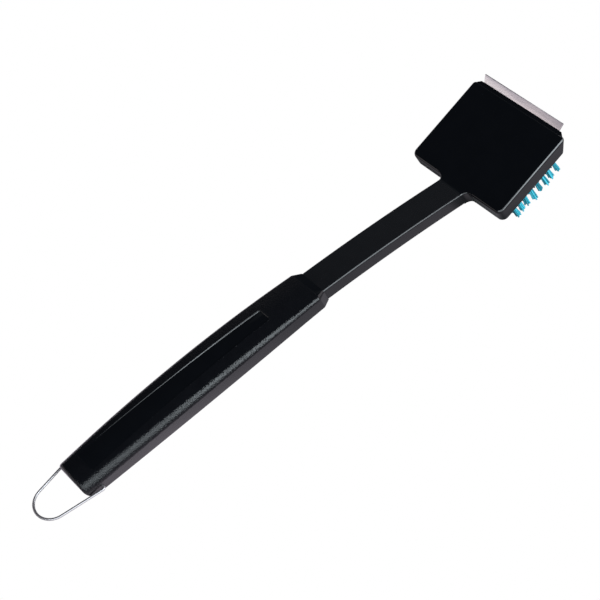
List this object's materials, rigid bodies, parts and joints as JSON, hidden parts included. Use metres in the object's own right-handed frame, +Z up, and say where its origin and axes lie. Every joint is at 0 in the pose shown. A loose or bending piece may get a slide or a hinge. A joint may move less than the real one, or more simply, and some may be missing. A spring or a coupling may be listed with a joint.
{
  "type": "grill cleaning brush",
  "caption": "Grill cleaning brush with rows of nylon tufts, a bent steel scraper, an arched neck, a grained grip and a swinging wire hang loop.",
  "frame": {"origin": "bottom centre of the bounding box, on the surface that the brush lies on", "axes": "+Y from the hang loop towards the scraper, +Z up, +X to the right seen from the grip"},
  "size_m": [0.09, 0.4496, 0.0599],
  "materials": {
    "neck_black": "glossy head with a fine-grained neck",
    "grip_black": "grained",
    "block_black": "satin",
    "nylon": "coarse filaments",
    "blade_steel": "brushed",
    "wire_steel": "drawn wire",
    "screw_steel": "zinc plated"
  },
  "bodies": {
    "brush": {"head_and_neck": "neck_black", "grip_shell": "grip_black", "grip_cover": "grip_black", "grip_screws": "screw_steel", "brush_block": "block_black", "block_screws": "screw_steel", "scraper_blade": "blade_steel", "scraper_screws": "screw_steel", "tuft_anchors": "screw_steel", "bristle_row_1": "nylon", "bristle_row_2": "nylon", "bristle_row_3": "nylon", "bristle_row_4": "nylon", "bristle_row_5": "nylon", "bristle_row_6": "nylon", "bristle_row_7": "nylon", "bristle_row_8": "nylon"},
    "loop": {"hang_loop": "wire_steel"}
  },
  "joints": [
    {"name": "loop_swing", "type": "hinge", "parent": "brush", "child": "loop", "pos_m": [0, -0.18112, 0.00553], "axis": [1, 0, 0], "range_deg": [-120, 140]}
  ]
}
